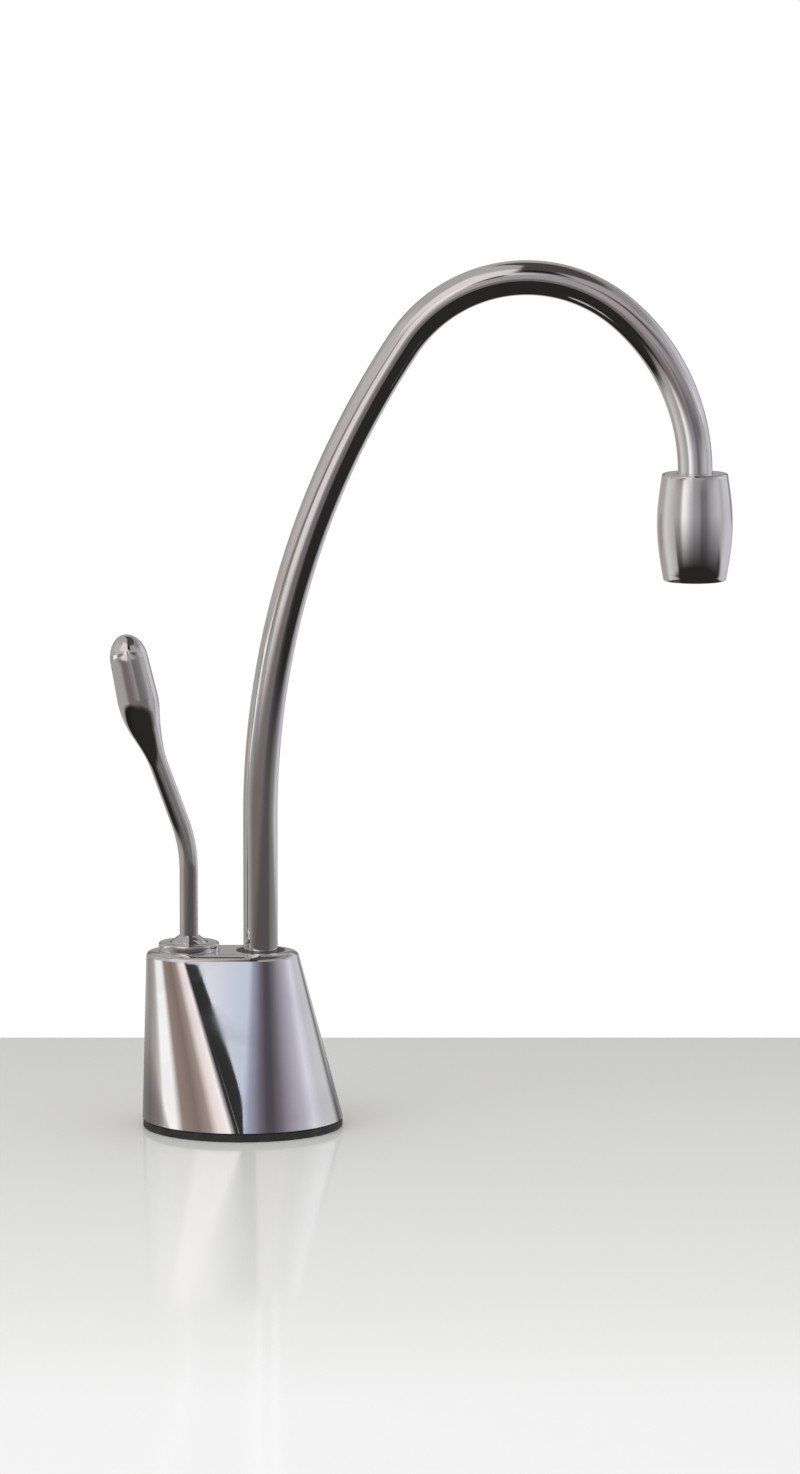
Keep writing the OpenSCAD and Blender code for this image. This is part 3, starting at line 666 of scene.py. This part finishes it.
coat(nodes["base_plate"], brass("plate_brass", rings=1500.0))
coat(nodes["base_screws"], steel("screw_steel"))


# ---- Valve block ----
# Hot-pressed brass manifold, machined for the valve, the spout's socket and three
# pipes. Two screws hold it on the plate, and plugs close the ends of its drillings.
valve_x = -0.021

coat(nodes["valve_block"], metal("block_brass", (0.74, 0.56, 0.28), (0.42, 0.29, 0.13), 0.38,
                                 rings=700.0))
coat(nodes["block_screws"], steel("block_screw_steel"))
coat(nodes["passage_plugs"], brass("plug_brass"))
coat(nodes["valve_end_plug"], brass("end_plug_brass", valve_x))


# ---- Valve ----
# Stainless seat, spindle and spring, a rubber disc and seals, and brass nuts, all dropped
# into the block from below or above. The spring is wound from round wire, with a closed
# half turn at each end.

# Skin of moulded rubber and plastic: fine pebble grain and faint clouds
moulded_skin, given = effect("moulded_skin", {"Grain": 3500.0}, ["Shade", "Height"])
place = put(moulded_skin, "ShaderNodeTexCoord").outputs["Object"]
pebble = put(moulded_skin, "ShaderNodeTexVoronoi", {"Vector": place, "Scale": given["Grain"]})
haze = put(moulded_skin, "ShaderNodeTexNoise", {"Vector": place, "Scale": 160.0, "Detail": 4.0})
put(moulded_skin, "NodeGroupOutput", {
    "Shade": haze.outputs["Fac"], "Height": pebble.outputs["Distance"]})


def moulded(name, light, dark, roughness, grain=3500.0, relief=0.2):
    """Moulded rubber or plastic."""
    material, tree = blank_material(name)
    skin = use(tree, moulded_skin, Grain=grain)
    tint = ramp(tree, skin["Shade"], [(0.3, dark), (0.7, light)])
    rough = remap(tree, skin["Shade"], 0.3, 0.7, roughness + 0.08, roughness - 0.05)
    return surface_of(material, tint, rough, skin["Height"], relief, depth=0.00004,
                      metallic=0.0)


def coil(name, radius, wire, low, high, turns, closed, sides=12, steps=36):
    """A compression spring on the valve's axis, its ends closed on their neighbours."""
    closed_pitch = 2.05 * wire
    open_turns = turns - 2 * closed
    open_pitch = (high - low - 2 * wire - 2 * closed * closed_pitch) / open_turns
    verts, faces = [], []
    for k in range(turns * steps + 1):
        turned = k / steps
        opened = min(max(turned - closed, 0.0), open_turns)
        middle = low + wire + (turned - opened) * closed_pitch + opened * open_pitch
        for j in range(sides):
            angle = 2 * math.pi * j / sides
            out = radius + wire * math.cos(angle)
            verts.append((valve_x + out * math.cos(2 * math.pi * turned),
                          out * math.sin(2 * math.pi * turned),
                          middle + wire * math.sin(angle)))
    for k in range(turns * steps):
        for j in range(sides):
            a, b = k * sides + j, k * sides + (j + 1) % sides
            faces.append((a, b, b + sides, a + sides))
    faces.append(list(range(sides)))
    faces.append([turns * steps * sides + j for j in range(sides)])
    return tidy(link_mesh(name, verts, faces), sharp=50.0)


seal_rubber = moulded("seal_rubber", (0.035, 0.035, 0.037), (0.016, 0.016, 0.017), 0.5)
coat(nodes["valve_seat"], steel("seat_steel", valve_x))
coat(nodes["gland_nut"], brass("gland_brass", valve_x))
coat(nodes["valve_stem"], steel("stem_steel", valve_x))
coat(nodes["spring_retainer"], brass("retainer_brass", valve_x))
coat(nodes["valve_disc"], seal_rubber)
coat(nodes["stem_o_ring"], seal_rubber)

spring_r, wire_r = millimetres(2.8, 0.45)
spring_turns, closed_turns = 6, 0.5
spring_low, spring_high = (corner.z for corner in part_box("valve_spring"))

spring = coil("compression_spring", spring_r, wire_r, spring_low, spring_high, spring_turns,
              closed_turns)
spring_steel = metal("spring_steel", (0.60, 0.60, 0.62), (0.36, 0.36, 0.38), 0.3, valve_x,
                     rings=5000.0)
fit_out(spring, "tap_body", spring_steel, "valve_spring")
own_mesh(spring)


# ---- Pipe holes ----
# Push-in collets, moulded in one colour per pipe, with a rubber ring above each. They
# grip the cold inlet pipe, the feed pipe to the tank and the hot pipe back from it.
collet_plastics = {
    "cold_inlet_collet": ("blue_collet", (0.07, 0.19, 0.55), (0.04, 0.12, 0.40)),
    "tank_feed_collet": ("white_collet", (0.84, 0.84, 0.82), (0.74, 0.74, 0.71)),
    "hot_return_collet": ("red_collet", (0.58, 0.06, 0.04), (0.42, 0.035, 0.03))}

for collet, (plastic, light, dark) in collet_plastics.items():
    coat(nodes[collet], moulded(plastic, light, dark, 0.4))
coat(nodes["port_o_rings"], seal_rubber)


# ---- Body ----
# Chrome-plated brass casting, ground and polished. Straight lines join its round foot
# to its oval top, which leaves one flat facet at the front and one at the back.
base_r, oval_r, rim_r, rim_drop = millimetres(32.0, 12.6, 3.0, 1.8)
oval_back, oval_front, oval_reach = millimetres(-18.0, 2.5, 2.5)
foot_z, top_z, ceiling_z = millimetres(2.5, 56.5, 53.25)
wall, foot_chamfer = millimetres(2.8, 0.5)
side_rows, rim_rows, inner_rows, quarter = 48, 10, 6, 48
lever_x, spout_x = millimetres(-17.0, 5.8)
collar_bore, glide_bore, hole_len = millimetres(9.0, 7.8, 10.0)
hole_low = ceiling_z - 0.002
key_z, key_r, key_start, key_len = millimetres(42.0, 2.0, 10.3, 20.0)

# Wiped plating: cloudy smears and hair-fine polishing marks
wiped_plating, given = effect("wiped_plating", {"Gloss": 0.04, "Smear": 0.05},
                              ["Roughness", "Cloud", "Height"])
place = put(wiped_plating, "ShaderNodeTexCoord").outputs["Object"]
cloud = put(wiped_plating, "ShaderNodeTexNoise", {
    "Vector": place, "Scale": 55.0, "Detail": 5.0, "Distortion": 0.8})
smears = fade(wiped_plating, cloud.outputs["Fac"], 0.45, 0.75)
stretched = put(wiped_plating, "ShaderNodeVectorMath", {0: place, 1: (2600.0, 2600.0, 90.0)},
                operation="MULTIPLY")
hairs = put(wiped_plating, "ShaderNodeTexNoise", {
    "Vector": stretched.outputs[0], "Scale": 1.0, "Detail": 2.0})
put(wiped_plating, "NodeGroupOutput", {
    "Roughness": calculate(wiped_plating, "MULTIPLY_ADD", smears, given["Smear"], given["Gloss"]),
    "Cloud": smears, "Height": hairs.outputs["Fac"]})


def chrome(name, smear=0.05):
    """Polished chrome plate, wiped by hand."""
    material, tree = blank_material(name)
    wear = use(tree, wiped_plating, Gloss=0.035, Smear=smear)
    tint = over(tree, wear["Cloud"], (0.90, 0.905, 0.92, 1.0), (0.83, 0.83, 0.84, 1.0))
    return surface_of(material, tint, wear["Roughness"], wear["Height"], relief=0.04,
                      depth=0.00002, metallic=1.0)


def oval(radius, back_x, front_x, reach, z):
    """A ring of points round an oval, with a round back and a front drawn out by reach."""
    ring = []
    for k in range(2 * quarter + 1):
        angle = math.pi * (k / (2 * quarter) - 0.5)
        ring.append((front_x + (radius + reach) * math.cos(angle), radius * math.sin(angle), z))
    for k in range(2 * quarter + 1):
        angle = math.pi * (k / (2 * quarter) + 0.5)
        ring.append((back_x + radius * math.cos(angle), radius * math.sin(angle), z))
    return ring


def body_ring(t, inset=0.0):
    """The body's outline at share t of its height, drawn inwards by inset."""
    return oval(base_r + (oval_r - base_r) * t - inset, oval_back * t, oval_front * t,
                oval_reach * t, foot_z + (top_z - foot_z) * t)


def drill(piece, at, direction, radius, length):
    """Bores a round hole through a piece, from a point along a direction."""
    mesh = bpy.data.meshes.new("drill")
    builder = bmesh.new()
    bmesh.ops.create_cone(builder, segments=96, radius1=radius, radius2=radius, depth=length,
                          cap_ends=True)
    builder.to_mesh(mesh)
    builder.free()
    cutter = bpy.data.objects.new("drill", mesh)
    scene.collection.objects.link(cutter)
    cutter.location = Vector(at) + Vector(direction) * length / 2
    cutter.rotation_euler = Vector(direction).to_track_quat("Z", "Y").to_euler()
    cut = piece.modifiers.new("hole", "BOOLEAN")
    cut.operation = "DIFFERENCE"
    cut.object = cutter
    bpy.context.view_layer.update()
    graph = bpy.context.evaluated_depsgraph_get()
    done = bpy.data.meshes.new_from_object(piece.evaluated_get(graph))
    piece.modifiers.clear()
    piece.data = done
    bpy.data.objects.remove(cutter)


# The outside: a small chamfer, the straight sides, and a soft rim round a flat top
chamfer_t = 0.006
rim_t = 1 - rim_drop / (top_z - foot_z)
rings = [body_ring(0.0, foot_chamfer), body_ring(chamfer_t)]
rings += [body_ring(chamfer_t + (rim_t - chamfer_t) * row / side_rows)
          for row in range(1, side_rows + 1)]
rim_low = rings[-1]
rim_edge = oval(oval_r, oval_back, oval_front, oval_reach, top_z)
rim_top = oval(oval_r - rim_r, oval_back, oval_front, oval_reach, top_z)
for step in range(1, rim_rows + 1):
    u = step / rim_rows
    rings.append([
        tuple((1 - u) ** 2 * a + 2 * u * (1 - u) * b + u * u * c
              for a, b, c in zip(low, edge, top))
        for low, edge, top in zip(rim_low, rim_edge, rim_top)])

# The hollow inside, from its ceiling down to the foot
outside = len(rings)
ceiling_t = (ceiling_z - foot_z) / (top_z - foot_z)
rings += [body_ring(ceiling_t * (1 - row / inner_rows), wall) for row in range(inner_rows + 1)]
count = len(rings[0])
top_ring, ceiling_ring = outside - 1, outside
pairs = [(row, row + 1) for row in range(len(rings) - 1) if row != top_ring]
faces = []
for first, second in pairs + [(len(rings) - 1, 0)]:
    for k in range(count):
        j = (k + 1) % count
        faces.append((first * count + k, first * count + j, second * count + j,
                      second * count + k))
faces.append([top_ring * count + k for k in range(count)])
faces.append([ceiling_ring * count + k for k in reversed(range(count))])
body = tidy(link_mesh("body_casting", [point for ring in rings for point in ring], faces))

drill(body, (lever_x, 0.0, hole_low), (0, 0, 1), collar_bore, hole_len)
drill(body, (spout_x, 0.0, hole_low), (0, 0, 1), glide_bore, hole_len)
drill(body, (spout_x, key_start, key_z), (0, 1, 0), key_r, key_len)
tidy(body, sharp=30.0)
fit_out(body, "tap_body", chrome("body_chrome"), "body_shell")


# ---- Base gasket ----
# Moulded black rubber ring between the body and the worktop, with soft edges. It lies
# round the shank and keeps water out of the worktop's hole.
gasket_low, gasket_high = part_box("base_gasket")
gasket_bore, gasket_edge = millimetres(14.2, 0.7)

gasket = lathe("gasket", rounded([
    (gasket_bore, gasket_low.z, 0), (gasket_high.x, gasket_low.z, soft_edge),
    (gasket_high.x, gasket_high.z, gasket_edge), (gasket_bore, gasket_high.z, 0)]), sides=192)
gasket_rubber = moulded("gasket_rubber", (0.03, 0.03, 0.031), (0.014, 0.014, 0.015), 0.45)
fit_out(gasket, "tap_body", gasket_rubber, "base_gasket")


# ---- Lever collar and pin ----
# Chromed brass ring, screwed into the body's top, with a seat for the lever's ball. A
# steel pin through its skirt carries the ball.
pivot_z = 0.0548
seat_r, skirt_r, collar_r, collar_edge, pin_r = millimetres(7.5, 8.9, 9.7, 0.7, 1.5)
collar_foot, collar_top = millimetres(47.5, 59.2)
pin_start, pin_len = millimetres(-12.0, 24.0)
seat_rows = 12

seat_arc = []
for k in range(seat_rows + 1):
    z = pivot_z + (collar_top - pivot_z) * (1 - k / seat_rows)
    seat_arc.append(Vector((math.sqrt(seat_r ** 2 - (z - pivot_z) ** 2), z)))
collar_outline = rounded([
    (seat_r, collar_foot, 0), (skirt_r, collar_foot, small_edge), (skirt_r, top_z, 0),
    (collar_r, top_z, fine_edge), (collar_r, collar_top, collar_edge),
    (seat_arc[0].x, collar_top, 0)]) + seat_arc[1:]
collar = lathe("collar", collar_outline, (lever_x, 0.0), sides=160)
drill(collar, (lever_x, pin_start, pivot_z), (0, 1, 0), pin_r, pin_len)
tidy(collar, sharp=30.0)
fit_out(collar, "tap_body", chrome("collar_chrome"), "lever_collar")
coat(nodes["pivot_pin"], steel("pin_steel", lever_x))


# ---- Lever ----
# Chromed lever, forged in one piece: a round stem that leans back and swells into a
# drop-shaped head. It screws into a chromed ball that rocks on the pin.
stem_foot, lean_z = pivot_z + 0.0028, 0.082
stem_r, head_r, lever_len = millimetres(2.95, 6.55, 103.0)
stem_bend_r, head_bend_r = millimetres(47.0, 45.0)
stem_lean, head_lean = math.radians(20.0), math.radians(12.0)
lean_len = 0.031
swell_start, swell_len, tip_len, taper = millimetres(60.0, 22.0, 8.0, 0.75)
straight_len = lean_z - stem_foot
lean_start = straight_len + stem_bend_r * stem_lean
head_start = lean_start + lean_len
thinnest = 0.00002


def lever_lean(s):
    """How far the lever leans back at length s along it."""
    if s < straight_len:
        return 0.0
    if s < lean_start:
        return (s - straight_len) / stem_bend_r
    if s < head_start:
        return stem_lean
    return max(head_lean, stem_lean - (s - head_start) / head_bend_r)


def lever_radius(s):
    """The lever's radius at length s: an even stem, a swelling head and a round tip."""
    u = min(1.0, max(0.0, (s - swell_start) / swell_len))
    past = max(0.0, (s - swell_start - swell_len) / (lever_len - swell_start - swell_len))
    tip = min(1.0, max(0.0, (s - lever_len + tip_len) / tip_len))
    full = stem_r + (head_r - stem_r) * u * u * (3 - 2 * u) - taper * past
    return full * math.sqrt(max(0.0, 1 - tip * tip))


def bar(name, stations, sides):
    """A round bar through stations of (x, z, lean towards +X, radius)."""
    verts, faces = [], []
    for x, z, lean, radius in stations:
        for k in range(sides):
            angle = 2 * math.pi * k / sides
            out = radius * math.cos(angle)
            verts.append((x + out * math.cos(lean), radius * math.sin(angle),
                          z - out * math.sin(lean)))
    for row in range(len(stations) - 1):
        for k in range(sides):
            a, b = row * sides + k, row * sides + (k + 1) % sides
            faces.append((a, b, b + sides, a + sides))
    faces.append([k for k in reversed(range(sides))])
    faces.append([(len(stations) - 1) * sides + k for k in range(sides)])
    return tidy(link_mesh(name, verts, faces), sharp=50.0)


# Even steps up the lever, then shorter and shorter ones round its tip
lever_steps, last_steps, tip_steps = 240, 10, 24
lengths = [lever_len * k / lever_steps for k in range(lever_steps - last_steps)]
last = lengths[-1]
lengths += [last + (lever_len - last) * math.sin(math.pi / 2 * k / tip_steps)
            for k in range(1, tip_steps + 1)]
stations = []
x, z, passed = lever_x, stem_foot, 0.0
for s in lengths:
    middle = lever_lean((s + passed) / 2)
    x -= (s - passed) * math.sin(middle)
    z += (s - passed) * math.cos(middle)
    passed = s
    stations.append((x, z, -lever_lean(s), max(lever_radius(s), thinnest)))
lever = bar("lever_handle", stations, sides=64)
lever_chrome = chrome("lever_chrome", smear=0.07)
fit_out(lever, "lever", lever_chrome, "lever")
coat(nodes["lever_ball"], lever_chrome)
coat(nodes["hot_marker"], moulded("marker_enamel", (0.55, 0.07, 0.05), (0.45, 0.05, 0.04), 0.2,
                                  grain=2500.0, relief=0.05))


# ---- Spout ----
# Chromed brass tube, bent to a long arch and brazed into a turned spigot. The spigot
# turns in the block's socket on two rubber rings, and a black ring guides the tube.
def pipe(name, path, radius, bore, sides):
    """A hollow tube along a path of (x, z, lean)."""
    verts, faces = [], []
    for x, z, lean in path:
        for r in (radius, bore):
            for k in range(sides):
                angle = 2 * math.pi * k / sides
                out = r * math.cos(angle)
                verts.append((x + out * math.cos(lean), r * math.sin(angle),
                              z - out * math.sin(lean)))
    step = 2 * sides
    for k in range(sides):
        j = (k + 1) % sides
        for row in range(len(path) - 1):
            a = row * step
            faces.append((a + k, a + j, a + step + j, a + step + k))
            a += sides
            faces.append((a + j, a + k, a + step + k, a + step + j))
        faces.append((j, k, sides + k, sides + j))
        a = (len(path) - 1) * step
        faces.append((a + k, a + j, a + sides + j, a + sides + k))
    return tidy(link_mesh(name, verts, faces), sharp=50.0)


coat(nodes["spout_spigot"], brass("spigot_brass", spout_x))
coat(nodes["spout_o_rings"], seal_rubber)
coat(nodes["spout_glide_ring"], moulded("glide_plastic", (0.04, 0.04, 0.042),
                                        (0.02, 0.02, 0.021), 0.35))
coat(nodes["spout_set_screw"], steel("set_screw_steel", spout_x))

# Straight up, then three arcs, each with its radius and the lean that it ends at
tube_r, tube_bore, tube_foot, bend_z, tube_grip = millimetres(5.5, 4.5, 38.0, 99.0, 4.0)
arcs = [(0.273, math.radians(33.6)), (0.0465, math.radians(130.5)), (0.066, math.pi)]
riser_steps, arc_steps, steps_per_degree = 12, 24, 0.9
path = [(spout_x, tube_foot + (bend_z - tube_foot) * k / riser_steps, 0.0)
        for k in range(riser_steps + 1)]
x, z, lean = path[-1]
for bend_r, heading in arcs:
    steps = max(arc_steps, int(math.degrees(heading - lean) * steps_per_degree))
    start_x, start_z, start_lean = x, z, lean
    for k in range(1, steps + 1):
        lean = start_lean + (heading - start_lean) * k / steps
        x = start_x + bend_r * (math.cos(start_lean) - math.cos(lean))
        z = start_z + bend_r * (math.sin(lean) - math.sin(start_lean))
        path.append((x, z, lean))
outlet_x = x
adapter_low, adapter_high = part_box("nozzle_adapter")
path.append((outlet_x, adapter_low.z + tube_grip, math.pi))

spout = pipe("spout_pipe", path, tube_r, tube_bore, sides=72)
fit_out(spout, "spout", chrome("spout_chrome"), "spout_tube")


# ---- Nozzle ----
# Chromed barrel, turned from brass, that screws up over a threaded end on the tube.
# Inside it sit a rubber washer, a white plastic flow straightener and a steel screen.
coat(nodes["nozzle_adapter"], brass("adapter_brass", outlet_x))
coat(nodes["nozzle_washer"], seal_rubber)
coat(nodes["flow_straightener"], moulded("straightener_plastic", (0.82, 0.82, 0.80),
                                         (0.70, 0.70, 0.68), 0.45))
coat(nodes["nozzle_screen"], steel("screen_steel", outlet_x))

barrel_low, barrel_high = (corner.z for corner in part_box("nozzle_shell"))
screen_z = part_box("nozzle_screen")[0].z
barrel_top_r, barrel_middle_r, barrel_foot_r = millimetres(10.4, 12.0, 9.9)
mouth_r, thread_r, barrel_edge, tube_gap = millimetres(7.2, 8.6, 0.9, 0.2)
flare_r, flare_z = millimetres(0.6, 2.2)
bulge_start, bulge_share, bulge_rows = 0.04, 0.92, 32

barrel_len = barrel_high - barrel_low
barrel_bulge = barrel_middle_r - (barrel_top_r + barrel_foot_r) / 2
hole_r = tube_r + tube_gap
profile = rounded([
    (mouth_r, barrel_low, soft_edge), (barrel_foot_r, barrel_low, barrel_edge),
    (barrel_foot_r + flare_r, barrel_low + flare_z, 0)])[:-1]
for k in range(bulge_rows + 1):
    u = bulge_start + bulge_share * k / bulge_rows
    profile.append(Vector((
        barrel_foot_r + (barrel_top_r - barrel_foot_r) * u + barrel_bulge * math.sin(math.pi * u),
        barrel_low + barrel_len * u)))
profile += rounded([
    (profile[-1].x, profile[-1].y, 0), (barrel_top_r, barrel_high, barrel_edge),
    (hole_r, barrel_high, fine_edge), (hole_r, adapter_high.z, 0), (thread_r, adapter_high.z, 0),
    (thread_r, screen_z, 0), (mouth_r, screen_z, 0)])[1:]
barrel = lathe("nozzle_barrel", profile, (outlet_x, 0.0), sides=160)
fit_out(barrel, "spout", chrome("nozzle_chrome"), "nozzle_shell")


# ---- Worktop fixing ----
# Under the worktop: a rubber washer, a stainless washer and a brass nut, run up the
# shank's thread. They clamp the tap to the worktop.
coat(nodes["deck_rubber_washer"], gasket_rubber)
coat(nodes["deck_steel_washer"], steel("washer_steel", rings=1600.0))
coat(nodes["mounting_nut"], brass("nut_brass", rings=1600.0))
